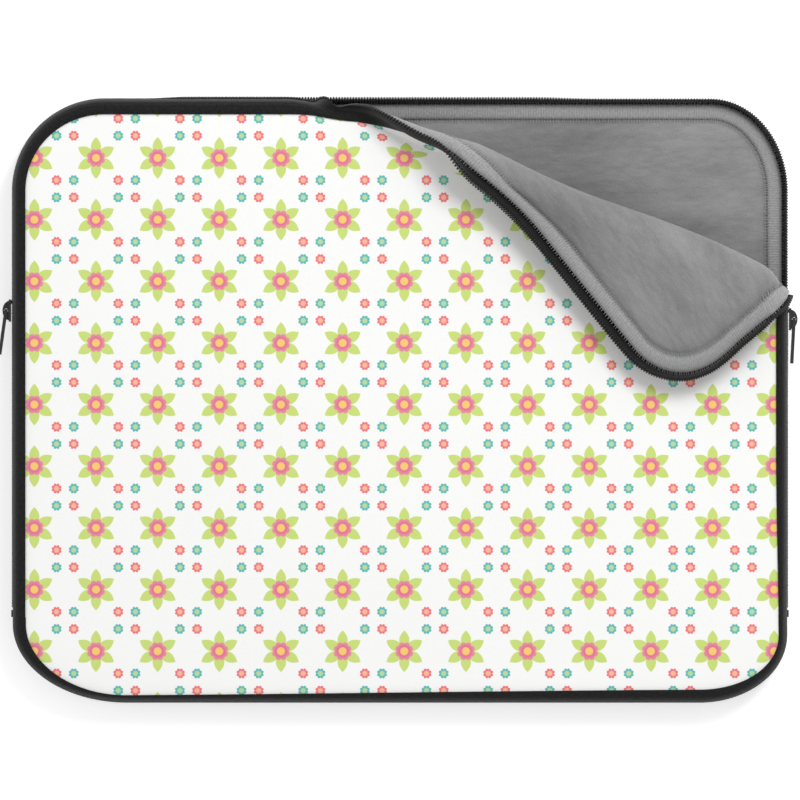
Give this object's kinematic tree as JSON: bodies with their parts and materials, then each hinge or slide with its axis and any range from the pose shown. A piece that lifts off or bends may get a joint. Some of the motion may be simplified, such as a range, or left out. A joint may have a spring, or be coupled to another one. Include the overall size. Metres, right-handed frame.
{
  "type": "laptop sleeve",
  "caption": "Padded zip-up laptop sleeve with a floral printed cover, plush lining and the front corner folded forward to show the pocket.",
  "frame": {"origin": "middle of the back outer face, which the sleeve lies on", "axes": "+X to the right along the length, +Y towards the zip opening, +Z out of the front panel"},
  "size_m": [0.3603, 0.2723, 0.047],
  "materials": {
    "print_fabric": "matte printed polyester canvas with small flowers on white",
    "foam": "soft closed-cell foam",
    "plush_lining": "short grey plush",
    "binding_ribbon": "ribbed light grey ribbon",
    "black_tape": "matte black woven tape",
    "zip_coil": "black moulded coil",
    "zip_metal": "black enamelled die casting"
  },
  "bodies": {
    "shell": {"back_binding": "binding_ribbon", "back_foam": "foam", "back_lining": "plush_lining", "back_outer_fabric": "print_fabric", "back_zip_coil": "zip_coil", "back_zip_tape": "black_tape", "bottom_gusset": "black_tape", "front_binding": "binding_ribbon", "front_foam": "foam", "front_lining": "plush_lining", "front_outer_fabric": "print_fabric", "front_zip_coil_left": "zip_coil", "front_zip_coil_right": "zip_coil", "front_zip_tape_left": "black_tape", "front_zip_tape_right": "black_tape", "zip_stop_left": "zip_metal", "zip_stop_right": "zip_metal"},
    "fold_lip": {"lip_binding": "binding_ribbon", "lip_foam": "foam", "lip_lining": "plush_lining", "lip_outer_fabric": "print_fabric", "lip_zip_coil": "zip_coil", "lip_zip_tape": "black_tape"},
    "fold_roll": {"roll_binding": "binding_ribbon", "roll_foam": "foam", "roll_lining": "plush_lining", "roll_outer_fabric": "print_fabric", "roll_zip_tape": "black_tape"},
    "flap": {"flap_binding": "binding_ribbon", "flap_foam": "foam", "flap_lining": "plush_lining", "flap_outer_fabric": "print_fabric", "flap_zip_coil": "zip_coil", "flap_zip_tape": "black_tape"},
    "slider_left": {"slider_left": "zip_metal"},
    "slider_right": {"slider_right": "zip_metal"},
    "pull_left": {"pull_left": "zip_metal"},
    "pull_right": {"pull_right": "zip_metal"}
  },
  "joints": [
    {"name": "slider_left_run", "type": "slide", "parent": "shell", "child": "slider_left", "axis": [0, 1, 0], "range_m": [-0.128, 0.048]},
    {"name": "slider_right_run", "type": "slide", "parent": "shell", "child": "slider_right", "axis": [0, 1, 0], "range_m": [-0.124, 0]},
    {"name": "pull_left_swing", "type": "hinge", "parent": "slider_left", "child": "pull_left", "pos_m": [-0.1776, 0.0407, 0.012], "axis": [0, 0, -1], "range_deg": [-9, 150]},
    {"name": "pull_right_swing", "type": "hinge", "parent": "slider_right", "child": "pull_right", "pos_m": [0.1776, 0.0368, 0.012], "axis": [0, 0, 1], "range_deg": [0, 150]},
    {"name": "lip_creep", "type": "slide", "parent": "shell", "child": "fold_lip", "axis": [-0.9003, 0.4352, 0], "range_m": [0, 0.00901]},
    {"name": "fold_open", "type": "hinge", "parent": "fold_lip", "child": "fold_roll", "pos_m": [0.11331, 0.07585, 0.02342], "axis": [-0.9003, 0.4352, 0], "range_deg": [0, 95]},
    {"name": "flap_turn", "type": "hinge", "parent": "fold_roll", "child": "flap", "pos_m": [0.1128, 0.07481, 0.03664], "axis": [-0.9003, 0.4352, 0], "range_deg": [0, 95.01]}
  ],
  "couplings": [
    {"joint": "flap_turn", "follows": "fold_open", "ratio": 1},
    {"joint": "lip_creep", "follows": "fold_open", "m_per_rad": 0.005428}
  ]
}
